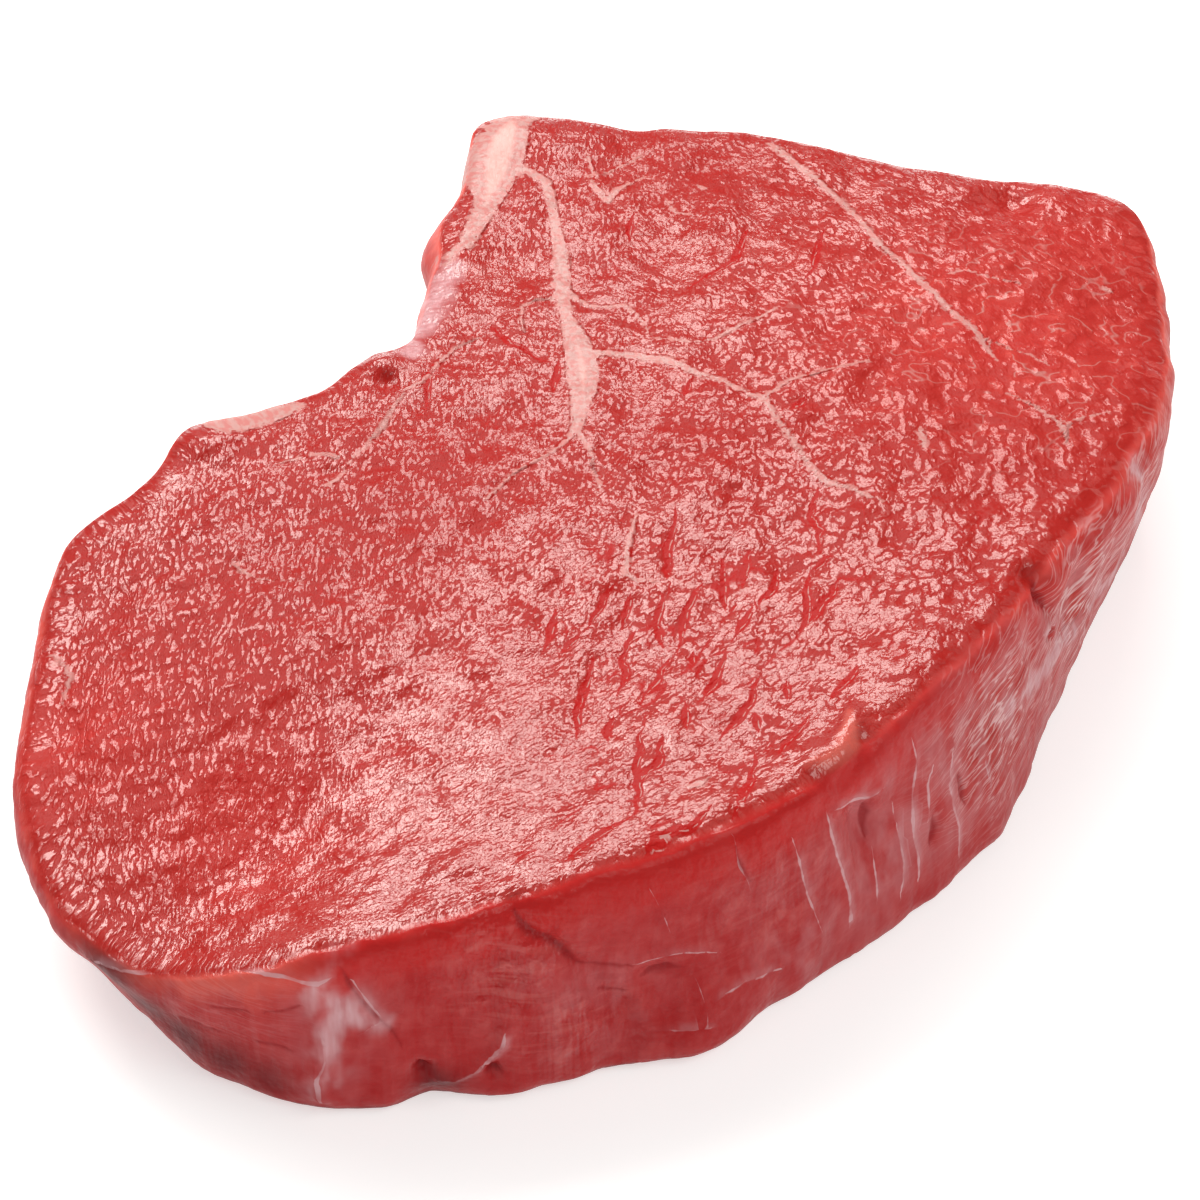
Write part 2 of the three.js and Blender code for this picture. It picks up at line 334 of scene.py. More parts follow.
# Ridges and hollows: pixels, half width and height in millimetres
RIDGES = {
    "flap face": ([(818, 755), (834, 748), (844, 736)], 1.8, 0.3),
    "flap": ([(806, 770), (826, 762), (842, 752), (852, 735), (853, 712)], 1.0, 0.7),
    "under the flap": ([(815, 778), (838, 772), (852, 757), (862, 738)], 1.3, -0.9),
    "muscle crease": ([(514, 908), (530, 930), (556, 944), (579, 966), (605, 990), (630, 1020)], 1.5, -0.9),
    "fold lip": ([(504, 1030), (503, 1044), (480, 1067), (438, 1077)], 0.9, 0.6),
    "almond": ([(640, 976), (664, 969), (684, 972)], 1.2, -0.4),
    "nub": ([(655, 1043), (700, 1040)], 1.4, 0.5),
    "foot nub": ([(318, 1096), (324, 1098)], 0.9, 0.7),
    "second foot nub": ([(408, 1096), (416, 1098)], 0.9, 0.7),
    "lobe edge": ([(300, 965), (312, 985), (318, 1010), (322, 1040), (318, 1075)], 1.0, 0.4),
    "upper dent": ([(852, 805), (866, 826)], 2.2, -1.0),
    "lower dent": ([(925, 835), (938, 846)], 1.8, -0.8),
    "nick hollow": ([(1030, 572), (1042, 592), (1049, 607)], 1.6, -1.1),
}

# Pale lip of the flap on the front edge: pixels, and the half width there in millimetres
LIP = [(806, 768, 0.2), (822, 762, 0.7), (838, 754, 1.1), (847, 742, 1.2), (850, 728, 0.9), (850, 714, 0.4)]

# Strokes of pale film: pixels, and the half width there in millimetres
FILMS = {
    "membrane top": [(345, 948, 0.3), (330, 966, 0.6), (322, 985, 0.6)],
    "membrane": [(312, 980, 0.6), (328, 992, 1.3), (345, 1008, 1.6), (362, 1020, 1.0), (376, 1023, 0.4)],
    "membrane lower": [(334, 1012, 1.0), (331, 1040, 0.9), (326, 1066, 0.8), (322, 1088, 0.7)],
    "right edge": [(1133, 470, 1.2), (1138, 495, 2.3), (1138, 522, 1.2)],
    "right band": [(1137, 526, 0.6), (1112, 575, 1.1), (1080, 620, 1.3), (1050, 662, 1.1), (1010, 705, 0.5)],
    "neck": [(450, 268, 1.0), (439, 295, 1.8), (426, 325, 2.0), (412, 352, 1.2)],
}

# Patches where pleated film veils the wall: pixel, radius in millimetres and strength
VEILS = {
    "front right wall": (930, 800, 11.0, 0.9),
    "pleats": (880, 860, 11.0, 0.8),
    "lower front": (790, 930, 9.0, 0.5),
    "foot": (810, 948, 5.0, 0.9),
    "arc": (870, 795, 4.5, 0.8),
    "lobe": (338, 1008, 4.5, 1.0),
    "lobe lower": (330, 1060, 4.0, 0.9),
    "lobe foot": (315, 1085, 4.0, 0.7),
    "crease side": (600, 1000, 8.0, 0.45),
    "neck wall": (440, 320, 8.0, 0.8),
}

# Patches where fibrous film veils the wall: pixel, radius in millimetres and strength
WEAVES = {
    "right edge": (1135, 510, 10.0, 1.0),
    "right wall": (1080, 610, 13.0, 1.0),
    "front right wall": (1000, 720, 11.0, 0.9),
    "lobe": (225, 1000, 8.0, 0.1),
    "lobe left": (140, 975, 6.0, 0.06),
}

# Places on the cut face that are drier, or wetter where negative: pixel, radius in millimetres and amount
DRY = {
    "upper right": (1000, 380, 26.0, 0.16),
    "far right": (1090, 270, 16.0, 0.10),
    "back": (700, 165, 16.0, 0.10),
    "middle back": (690, 440, 10.0, 0.08),
    "left": (200, 640, 26.0, 0.12),
    "left edge": (80, 780, 14.0, 0.06),
    "front left": (240, 830, 16.0, 0.06),
    "front": (480, 850, 24.0, -0.10),
    "upper left": (430, 480, 18.0, 0.09),
    "front right": (820, 700, 16.0, -0.05),
}

# Patches of the cut face where the lean is paler: its own paler tone at the right and back right, painted
# light on shaded slopes at the front left and left edge: pixel, radius in millimetres and strength
PALE_TONE_AND_LIT_PATCHES = {
    "right": (1000, 330, 26.0, 0.9),
    "back right": (1080, 240, 16.0, 0.8),
    "front left": (240, 830, 16.0, 0.9),
    "left edge": (75, 740, 15.0, 0.9),
}

# Place on the cut face with a fine net of fat: pixel and radius in millimetres
NET = (1000, 330, 26.0)

# Patches of rough torn meat on the wall: pixel, radius in millimetres and strength
ROUGH = {
    "bulge": (515, 975, 7.0, 1.0),
    "bulge foot": (575, 1025, 6.5, 1.0),
    "bulge rim": (480, 935, 4.5, 0.8),
    "front": (770, 900, 9.0, 0.5),
}

# Patches of the wall painted dark as shade, at the foot under the overhanging lobe and in the cleft: pixel,
# radius in millimetres and strength
PAINTED_SHADE_PATCHES = {
    "lobe foot 1": (118, 968, 5.0, 1.0),
    "lobe foot 2": (150, 1003, 5.0, 1.0),
    "lobe foot 3": (185, 1035, 5.0, 1.0),
    "lobe foot 4": (225, 1060, 4.5, 0.9),
    "lobe foot 5": (265, 1080, 4.0, 0.7),
    "cleft": (438, 1080, 3.0, 1.0),
}

# Fibres of the film run along the wall: degrees from the front by way of the right, and their slope there
WALL_RADIUS = 70.0
FIBRE_SLOPES = (
    (0, 0.0), (60, 0.2), (120, 0.27), (180, -0.2), (250, 0.25), (290, -0.1), (320, -0.4), (360, -0.3),
)

# Places where fine cracks run in chains along the grain: pixel, radius in millimetres and strength
CHAINS = {
    "middle": (690, 620, 26.0, 1.0),
    "front": (620, 790, 24.0, 0.9),
    "front left": (330, 780, 26.0, 0.8),
    "left": (260, 600, 22.0, 0.7),
    "back left": (480, 380, 18.0, 0.7),
    "back": (690, 290, 20.0, 0.6),
    "right": (860, 560, 18.0, 0.8),
}

# All patches, by the value of the mesh that they set
PATCHES = {"veil": VEILS, "weave": WEAVES, "chain": CHAINS, "rough": ROUGH, "shade_and_dark_back": PAINTED_SHADE_PATCHES, "pale": PALE_TONE_AND_LIT_PATCHES}

# How rough, woven and veiled the hidden back walls are on average, and how much darker red they are painted
HIDDEN_PATCHES = {"rough": 0.2, "weave": 0.08, "veil": 0.4}
HIDDEN_DARKENING = 0.25

# Seed of the random strokes, and what mixes the cells of noise
SEED = 41
HASH_FACTOR = np.uint64(0x9E3779B97F4A7C15)
HASH_SHIFT = np.uint64(29)

# Layers of noise: amount, sizes of features along each axis in millimetres, and seed
LAYERS = {
    "fine bundles": (0.13, (3.4, 9.0), 11),
    "crinkles": (0.04, (1.7, 3.6), 12),
    "broad bundles": (0.32, (9.0, 16.0), 13),
    "swells": (0.16, (5.0, 8.0), 14),
    "swells of the wall": (0.35, (7.0, 7.0, 7.0), 20),
    "upright pleats": (0.14, (2.2, 2.2, 16.0), 21),
    "grain of the wall": (0.07, (1.2, 1.2, 4.0), 22),
    "fibres": (0.35, (14.0, 1.7), 23),
    "rim": (0.2, (5.0, 5.0, 5.0), 24),
    "torn meat": (0.3, (1.6, 1.6, 1.6), 25),
    "rough": (0.3, (16.0, 16.0, 16.0), 31),
    "veil": (0.6, (13.0, 13.0, 20.0), 32),
    "weave": (0.3, (18.0, 18.0, 18.0), 33),
    "wander of the fibres": (1.6, (11.0, 11.0, 9.0), 34),
    "fat on the wall": (THROUGH_SPREAD, (8.0, 8.0, 8.0), 35),
}


def photo_ray(across, down):
    """The direction from the camera through a pixel of the photo."""
    ray = CAMERA_RIGHT * (across - PHOTO_SIDE / 2) / FOCAL_PIXELS
    ray = ray - CAMERA_UP * (down - PHOTO_SIDE / 2) / FOCAL_PIXELS - TOWARDS_CAMERA
    return ray / np.linalg.norm(ray)


def smoothed_solid():
    """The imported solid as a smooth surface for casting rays, without its facets."""
    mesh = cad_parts["steak"].data.copy()
    work = bmesh.new()
    work.from_mesh(mesh)
    bmesh.ops.remove_doubles(work, verts=work.verts, dist=WELD * MM)
    work.to_mesh(mesh)
    work.free()
    helper = bpy.data.objects.new("helper", mesh)
    bpy.context.scene.collection.objects.link(helper)
    helper.modifiers.new("smooth", "SUBSURF").levels = SMOOTHING
    tree = BVHTree.FromObject(helper, bpy.context.evaluated_depsgraph_get())
    bpy.data.objects.remove(helper)
    bpy.data.meshes.remove(mesh)
    return tree


SURFACE = smoothed_solid()


def cast(places, directions):
    """Where rays from these places first meet the solid."""
    hits = np.empty((len(places), 3))
    for row, (place, direction) in enumerate(zip(places, directions)):
        hits[row] = SURFACE.ray_cast(Vector(place) * MM, Vector(direction))[0]
    return hits / MM


def on_photo(pixels):
    """The places on the meat that these pixels of the photo show."""
    rays = [photo_ray(pixel[0], pixel[1]) for pixel in pixels]
    return cast([CAMERA_PLACE] * len(rays), rays)


def lattice_value(cell, seed):
    """A repeatable random number from -1 to 1 for each cell of a lattice."""
    mixed = np.full(len(cell), seed, np.uint64)
    for axis in range(cell.shape[1]):
        mixed = (mixed ^ cell[:, axis].astype(np.uint64)) * HASH_FACTOR
        mixed = mixed ^ (mixed >> HASH_SHIFT)
    return mixed.astype(float) / 2.0 ** 63 - 1.0


def noise(points, sizes, seed):
    """Smooth noise from -1 to 1 with features of these sizes along each axis."""
    place = points / np.asarray(sizes)
    cell = np.floor(place).astype(np.int64)
    share = place - cell
    share = share ** 3 * (share * (share * 6 - 15) + 10)
    total = np.zeros(len(points))
    for corner in itertools.product((0, 1), repeat=points.shape[1]):
        weight = np.prod(np.where(corner, share, 1 - share), axis=1)
        total += weight * lattice_value(cell + np.array(corner), seed)
    return total


def smoothstep(low, high, value):
    """0 below low, 1 above high, and a smooth rise between."""
    share = np.clip((value - low) / (high - low), 0, 1)
    return share * share * (3 - 2 * share)


def outline_columns():
    """Points spread evenly round the outline, anticlockwise from the front left."""
    angles = OUTLINE_START + np.linspace(0, 2 * math.pi, OUTLINE_RAYS, endpoint=False)
    rays = np.column_stack([np.cos(angles), np.sin(angles), np.zeros(OUTLINE_RAYS)])
    points = cast(np.tile([0.0, 0.0, OUTLINE_HEIGHT], (OUTLINE_RAYS, 1)), rays)[:, :2]
    closed = np.vstack([points, points[:1]])
    lengths = np.concatenate([[0.0], np.cumsum(np.linalg.norm(np.diff(closed, axis=0), axis=1))])
    wanted = np.arange(COLUMNS) / COLUMNS * lengths[-1]
    return np.column_stack([np.interp(wanted, lengths, closed[:, axis]) for axis in (0, 1)])


def grid_plan(cells, outline):
    """Plan points of a square grid whose rings are shrunken copies of the outline."""
    steps = np.linspace(-1, 1, cells + 1)
    across, along = np.meshgrid(steps, steps)
    ring = np.maximum(np.abs(across), np.abs(along))
    safe = np.where(ring > 0, ring, 1)
    a = across / safe
    b = along / safe
    sides = [
        (b <= -1 + TINY, (a + 1) / 2),
        (a >= 1 - TINY, 1 + (b + 1) / 2),
        (b >= 1 - TINY, 2 + (1 - a) / 2),
    ]
    share = np.select([side for side, _ in sides], [value for _, value in sides], 3 + (1 - b) / 2) / 4
    closed = np.vstack([outline, outline[:1]])
    marks = np.linspace(0, 1, len(closed))
    plan = [np.interp(share % 1.0, marks, closed[:, axis]) * ring for axis in (0, 1)]
    return np.column_stack([values.ravel() for values in plan])


def grid_edge(cells):
    """Numbers of a grid's outer points, in the order of the outline's columns."""
    numbers = np.arange((cells + 1) ** 2).reshape(cells + 1, cells + 1)
    sides = [numbers[0, :-1], numbers[:-1, -1], numbers[-1, :0:-1], numbers[:0:-1, 0]]
    return np.concatenate(sides)


def grid_quads(cells, first, turned):
    """The faces of a grid whose points start at a number, turned over for the underside."""
    numbers = first + np.arange((cells + 1) ** 2).reshape(cells + 1, cells + 1)
    corners = [numbers[:-1, :-1], numbers[:-1, 1:], numbers[1:, 1:], numbers[1:, :-1]]
    if turned:
        corners.reverse()
    return np.stack([corner.ravel() for corner in corners], axis=1).tolist()


def wall_points(outline, heights):
    """Rows of points round the wall, from under the cut face's edge to the underside."""
    inner = outline * FACE_SHARE
    reach = np.linalg.norm(outline - inner, axis=1)
    outward = (outline - inner) / reach[:, None]
    middle = heights / 2
    rows = []
    for row in range(1, WALL_ROWS + 1):
        travel = (2 * reach + heights) * row / WALL_ROWS
        out = np.minimum(np.minimum(travel, reach), np.maximum(2 * reach + heights - travel, 0))
        rise = middle - np.clip(travel - reach, 0, heights)
        rays = np.column_stack([outward * out[:, None], rise])
        rows.append(cast(np.column_stack([inner, middle]), rays / np.linalg.norm(rays, axis=1)[:, None]))
    return rows


def settled(face):
    """The points of the cut face with the furrows at its left smoothed down."""
    size = FACE_CELLS + 1
    smooth = face[:, 2].reshape(size, size).copy()
    for _ in range(SETTLING_PASSES):
        around = smooth[:-2, 1:-1] + smooth[2:, 1:-1] + smooth[1:-1, :-2] + smooth[1:-1, 2:]
        smooth[1:-1, 1:-1] = around / 4
    share = SETTLING_SHARE * smoothstep(*SETTLING_START, face[:, 0])
    height = face[:, 2] + share * (smooth.ravel() - face[:, 2])
    return np.column_stack([face[:, :2], height])


def slice_skin():
    """Points and faces of the closed slice before its fine relief, and each point's depth below the rim."""
    outline = outline_columns()
    plan = grid_plan(FACE_CELLS, outline * FACE_SHARE)
    above = np.column_stack([plan, np.full(len(plan), RAY_HEIGHT)])
    face = settled(cast(above, np.tile([0.0, 0.0, -1.0], (len(plan), 1))))
    edge = grid_edge(FACE_CELLS)
    rows = wall_points(outline, face[edge, 2])
    under_outline = outline[::UNDER_STEP] * FACE_SHARE * UNDER_SHARE
    under_plan = grid_plan(UNDER_CELLS, under_outline)
    under = np.column_stack([under_plan, np.zeros(len(under_plan))])
    points = np.vstack([face, *rows, under])
    rim = np.concatenate([face[:, 2], np.tile(face[edge, 2], WALL_ROWS), np.full(len(under), CUT_HEIGHT)])
    loops = [edge] + [len(face) + row * COLUMNS + np.arange(COLUMNS) for row in range(WALL_ROWS)]
    faces = grid_quads(FACE_CELLS, 0, False)
    for upper, lower in zip(loops, loops[1:]):
        quads = [upper, lower, np.roll(lower, -1), np.roll(upper, -1)]
        faces += np.stack(quads, axis=1).tolist()
    under_first = len(face) + WALL_ROWS * COLUMNS
    faces += grid_quads(UNDER_CELLS, under_first, True)
    inner_loop = under_first + grid_edge(UNDER_CELLS)
    for column in range(len(inner_loop)):
        outer = [int(loops[-1][(UNDER_STEP * column + step) % COLUMNS]) for step in range(UNDER_STEP, -1, -1)]
        inner = [int(inner_loop[column]), int(inner_loop[(column + 1) % len(inner_loop)])]
        faces.append(outer + inner)
    return points, faces, rim - points[:, 2]


def stroke_field(points, normals, line, half_widths, axes):
    """For each point: how far inside a stroke it lies, its signed gap from the line, the half width there."""
    field = np.tile([-STROKE_MARGIN, STROKE_MARGIN, 0.0], (len(points), 1))
    for a, b, wide_a, wide_b in zip(line, line[1:], half_widths, half_widths[1:]):
        low = np.minimum(a, b)[axes] - STROKE_MARGIN
        high = np.maximum(a, b)[axes] + STROKE_MARGIN
        near = np.flatnonzero(np.all((points[:, axes] > low) & (points[:, axes] < high), axis=1))
        span = np.zeros(3)
        span[axes] = (b - a)[axes]
        offset = np.zeros((len(near), 3))
        offset[:, axes] = points[near][:, axes] - a[axes]
        share = np.clip(offset @ span / max(span @ span, TINY), 0, 1)
        gap = np.linalg.norm(offset - share[:, None] * span, axis=1)
        side = np.where(np.sum(np.cross(span, offset) * normals[near], axis=1) < 0, -1, 1)
        wide = wide_a + share * (wide_b - wide_a)
        closer = wide - gap > field[near, 0]
        field[near[closer]] = np.column_stack([wide - gap, side * gap, wide])[closer]
    return field


def closest(fields):
    """The field of whichever stroke each point lies deepest in."""
    stack = np.stack(fields)
    deepest = np.argmax(stack[:, :, 0], axis=0)
    return stack[deepest, np.arange(stack.shape[1])]


def grain_of(points):
    """Grain coordinates of points on the plan, and how tightly the grain is packed there."""
    place = points[:, 0] + 1j * points[:, 1]
    growth = np.exp(GRAIN_BEND * place)
    grain = np.exp(1j * GRAIN_TURN) * (growth - 1) / GRAIN_BEND
    return np.column_stack([grain.real, grain.imag]), np.abs(growth)


def drawn_widths(pixels):
    """The half widths given with a stroke's pixels."""
    return np.array([pixel[2] for pixel in pixels])


def lens_widths(count, wide):
    """Half widths of a stroke that is widest in the middle and pointed at both ends."""
    return wide * np.sin(np.linspace(STROKE_END, math.pi - STROKE_END, count))


def wandering(line, dice):
    """A stroke's line with more points on each stretch, each set off a little at random."""
    shares = np.arange(CRACK_STEPS) / CRACK_STEPS
    stretches = [a + (b - a) * share for a, b in zip(line, line[1:]) for share in shares]
    points = np.array(stretches + [line[-1]])
    return points + dice.normal(0, CRACK_WANDER, points.shape)


def hidden_strokes(count, wide, dice):
    """Lines and half widths of strokes at random down the walls that the photo hides."""
    strokes = []
    for _ in range(count):
        start = math.radians(dice.uniform(*HIDDEN_ARC))
        angles = start + np.cumsum(dice.normal(0, HIDDEN_WANDER, HIDDEN_POINTS))
        heights = dice.uniform(*HIDDEN_TOP) - dice.uniform(*HIDDEN_DROP) * np.linspace(0, 1, HIDDEN_POINTS)
        ways = np.column_stack([np.cos(angles), np.sin(angles), np.zeros(HIDDEN_POINTS)])
        line = cast(RAY_REACH * ways + np.outer(heights, (0, 0, 1)), -ways)
        strokes.append((line, lens_widths(HIDDEN_POINTS, wide * dice.uniform(*HIDDEN_SHARES))))
    return strokes


def point_normals(points, faces):
    """Smooth normals at the points of a mesh."""
    mesh = bpy.data.meshes.new("normals")
    mesh.from_pydata(points.tolist(), [], faces)
    normals = np.empty(len(points) * 3)
    mesh.vertex_normals.foreach_get("vector", normals)
    bpy.data.meshes.remove(mesh)
    return normals.reshape(-1, 3)


def nearness(points, across, down, radius):
    """1 at the place that a pixel of the photo shows, falling to 0 round it."""
    gap = np.linalg.norm(points - on_photo([(across, down)])[0], axis=1)
    return np.exp(-(gap / radius) ** 2)


def layer(name, points):
    """One layer of noise, from the table."""
    amount, sizes, seed = LAYERS[name]
    return amount * noise(points, sizes, seed)


def marks_on(points, normals):
    """Values at each point that the relief and the finish are made from."""
    plan_axes = [0, 1]
    all_axes = [0, 1, 2]
    dice = np.random.default_rng(SEED)
    marks = {"up": smoothstep(*UP_TILT, normals[:, 2])}
    fields = []
    for name, pixels in SEAMS.items():
        axes = plan_axes if name in THROUGH else all_axes
        field = stroke_field(points, normals, on_photo(pixels), drawn_widths(pixels), axes)
        if name in THROUGH:
            spread = (THROUGH_SPREAD + layer("fat on the wall", points)) * (1 - marks["up"])
            field[:, [0, 2]] += spread[:, None]
        fields.append(field)
    marks["fat"] = closest(fields)
    fields = []
    for pixels in itertools.chain(*CRACKS.values()):
        line = wandering(on_photo(pixels), dice)
        wide = lens_widths(len(line), CRACK_WIDTH) * dice.uniform(*CRACK_SHARES, len(line))
        fields.append(stroke_field(points, normals, line, wide, all_axes))
    marks["crack"] = closest(fields)
    hidden = {"pleat": hidden_strokes(*HIDDEN_PLEATS, dice), "furrow": hidden_strokes(*HIDDEN_FURROWS, dice)}
    for name, strokes in (("pleat", PLEATS), ("furrow", FURROWS), ("film", FILMS)):
        drawn = [(on_photo(pixels), drawn_widths(pixels)) for pixels in strokes.values()]
        fields = [stroke_field(points, normals, *stroke, all_axes) for stroke in drawn + hidden.get(name, [])]
        marks[name] = closest(fields)
    marks["film"] = marks["film"][:, 0]
    marks["lip"] = stroke_field(points, normals, on_photo(LIP), drawn_widths(LIP), all_axes)[:, 0]
    marks["tilt"] = normals[:, 2]
    marks["front"] = smoothstep(*WALL_TURN, -normals[:, 1]) * smoothstep(*BAND_START, points[:, 0])
    back = smoothstep(*WALL_TURN, normals[:, 1])
    marks["rim"] = 1 - BACK_RIM_LOSS * back
    marks["down"] = smoothstep(*DOWN_TILT, -normals[:, 2])
    for name, patches in PATCHES.items():
        marks[name] = np.zeros(len(points))
        for across, down, radius, strength in patches.values():
            marks[name] = np.maximum(marks[name], strength * nearness(points, across, down, radius))
    behind = back * (1 - marks["up"])
    for name, average in HIDDEN_PATCHES.items():
        marks[name] = np.maximum(marks[name], behind * (average + layer(name, points)))
    # The hidden back walls are painted darker red, over the painted shade patches
    marks["shade_and_dark_back"] = np.maximum(marks["shade_and_dark_back"], HIDDEN_DARKENING * behind)
    marks["dry"] = sum(amount * nearness(points, *patch) for *patch, amount in DRY.values())
    marks["net"] = nearness(points, *NET)
    return marks


def fibre_places(points):
    """Coordinates along and across the fibres of the film on the wall."""
    turn = np.degrees(np.arctan2(points[:, 0], -points[:, 1])) % 360
    stops = np.arange(361)
    degrees, slopes = zip(*FIBRE_SLOPES)
    lift = np.cumsum(np.interp(stops, degrees, slopes)) * math.radians(WALL_RADIUS)
    along = np.radians(turn) * WALL_RADIUS
    across = points[:, 2] - np.interp(turn, stops, lift) + layer("wander of the fibres", points)
    return np.column_stack([along, across, np.zeros(len(points))])


def relief(points, normals, marks):
    """How far each point moves out along its normal, in millimetres."""
    grain, tight = grain_of(points)
    up = marks["up"]
    side = np.clip(1 - up - marks["down"], 0, 1)
    fat = marks["fat"][:, 0]
    lean = 1 - smoothstep(*FAT_EDGE, fat)
    fine = layer("fine bundles", grain) + layer("crinkles", grain)
    broad = layer("broad bundles", grain) + layer("swells", grain)
    height = up * (lean * fine + broad) / np.maximum(tight, 1.0) ** 2
    height -= CRACK_DEPTH * smoothstep(*CRACK_EDGE, marks["crack"][:, 0]) * (up + CRACK_WALL_SHARE * side)
    height -= up * FAT_DENT * np.exp(-((fat + FAT_DENT_GAP) / FAT_DENT_WIDTH) ** 2)
    for across, down, radius, depth in PITS.values():
        height -= depth * nearness(points, across, down, radius)
    for pixels, wide, rise in RIDGES.values():
        field = stroke_field(points, normals, on_photo(pixels), np.zeros(len(pixels)), [0, 1, 2])
        height += rise * np.exp(-(field[:, 0] / wide) ** 2)
    height += side * layer("swells of the wall", points)
    height += side * (1 - marks["weave"]) * layer("upright pleats", points)
    height += side * layer("grain of the wall", points)
    height += side * marks["weave"] * layer("fibres", marks["fibres"][:, :2])
    height -= side * FURROW_DEPTH * smoothstep(*FURROW_EDGE, marks["furrow"][:, 0])
    height += side * marks["rough"] * layer("torn meat", points)
    height += side * PLEAT_HEIGHT * smoothstep(*PLEAT_EDGE, marks["pleat"][:, 0])
    return height * (1 - marks["down"])


def rim_push(points, normals, marks):
    """How far each point of the rounded upper edge moves sideways, in millimetres."""
    outward = normals * (1.0, 1.0, 0.0)
    outward = outward / np.maximum(np.linalg.norm(outward, axis=1), TINY)[:, None]
    edge = smoothstep(*RIM_TILT, marks["tilt"]) * smoothstep(*RIM_DEPTH, marks["below"])
    push = RIM_PUSH + LEFT_PUSH * smoothstep(*LEFT_START, points[:, 0]) + layer("rim", points)
    return outward * (edge * push)[:, None]


# Values that the finish reads from the mesh
FINISH_NUMBERS = (
    "film", "lip", "tilt", "front", "rim", "veil", "weave", "chain", "rough", "shade_and_dark_back", "pale", "dry", "net",
    "below", "tight",
)
FINISH_VECTORS = ("fat", "crack", "pleat", "furrow", "place", "grain", "fibres")


def make_slice():
    """The slice of meat as one object, with the values that its finish reads."""
    points, faces, below = slice_skin()
    normals = point_normals(points, faces)
    marks = marks_on(points, normals)
    grain, tight = grain_of(points)
    marks.update(below=below, tight=tight, place=points, fibres=fibre_places(points))
    marks["grain"] = np.column_stack([grain, points[:, 2]])
    shaped = points + normals * relief(points, normals, marks)[:, None] + rim_push(points, normals, marks)
    shaped[:, 2] = np.maximum(shaped[:, 2], 0)
    mesh = bpy.data.meshes.new("steak_meat")
    mesh.from_pydata((shaped * MM).tolist(), [], faces)
    mesh.polygons.foreach_set("use_smooth", [True] * len(mesh.polygons))
    for name in FINISH_NUMBERS:
        mesh.attributes.new(name, "FLOAT", "POINT").data.foreach_set("value", marks[name])
    for name in FINISH_VECTORS:
        mesh.attributes.new(name, "FLOAT_VECTOR", "POINT").data.foreach_set("vector", marks[name].ravel())
    piece = bpy.data.objects.new("steak_meat", mesh)
    bpy.context.scene.collection.objects.link(piece)
    return piece


# Colours of the finish, as linear light
LEAN = (0.36, 0.026, 0.020, 1)
LEAN_DEEP = (0.345, 0.020, 0.016, 1)
# Paler lean: its own tone at the right, painted light at the front left and left edge
LEAN_PALE_AND_LIT = (0.47, 0.030, 0.024, 1)
CREASE = (0.325, 0.012, 0.009, 1)
# Red of the cracks, also painted as shade in the hollows of the torn meat on the wall
CRACK_RED_AND_HOLLOW_SHADE = (0.36, 0.006, 0.005, 1)
FAT = (0.48, 0.255, 0.235, 1)
FAT_PINK = (0.49, 0.17, 0.155, 1)
FAT_BRIGHT = (0.66, 0.345, 0.31, 1)
# Band and rim: the wall's own red under the edge, partly painted light that brightens the upper wall
BAND = (0.46, 0.016, 0.015, 1)
CORAL = (0.46, 0.052, 0.044, 1)
RIM = (0.68, 0.105, 0.08, 1)
FLAP = (0.60, 0.12, 0.09, 1)
WALL = (0.37, 0.013, 0.014, 1)
WALL_PALE = (0.42, 0.034, 0.034, 1)
STRAND = (0.52, 0.10, 0.09, 1)
FILM = (0.62, 0.37, 0.39, 1)
THREAD = (0.72, 0.47, 0.47, 1)
# Painted shade in the creases of the wall
FURROW_SHADE = (0.25, 0.004, 0.006, 1)
# Painted shade at the lobe's foot and in the cleft, and the darker red of the hidden back walls
DARK_RED_AND_SHADE = (0.11, 0.007, 0.009, 1)
# Painted contact shade, with juice, at the foot of the wall
CONTACT_SHADE_AND_JUICE = (0.08, 0.002, 0.002, 1)

# Sheen of the meat, and of the wet coat over it
ROUGHNESS = 0.42
IOR = 1.16
COAT_ROUGHNESS = 0.13
COAT_IOR = 1.55

# Noise of the finish: features per millimetre, detail, then the vector read and its stretch, if not FLAT
FLAT = ("place", (1.0, 1.0, 0.0))
NOISES = {
    "loose plates": (0.9, 2.0, "grain", (1.0, 0.65, 0.0)),
    "tight plates": (1.2, 2.0, "place", (1.0, 0.42, 0.0)),
    "patches": (0.2, 3.0),
    "flakes": (1.6, 1.0),
    "swell": (0.28, 1.0),
    "broad": (0.06, 0.0),
    "ragged": (1.1, 3.0),
    "chains": (0.2, 1.0, "grain", (1.0, 0.33, 0.0)),
    "net": (0.16, 2.0),
    "fibres": (1.0, 2.0, "fibres", (0.13, 1.0, 0.0)),
    "pleats": (0.28, 1.0, "place", (1.0, 1.0, 0.012)),
    "meat": (0.42, 2.0, "place", (1.0, 1.0, 1.0)),
    "cloud": (0.3, 2.0, "place", (1.0, 1.0, 0.55)),
    "film lines": (1.4, 1.0, "place", (1.0, 1.0, 0.12)),
}

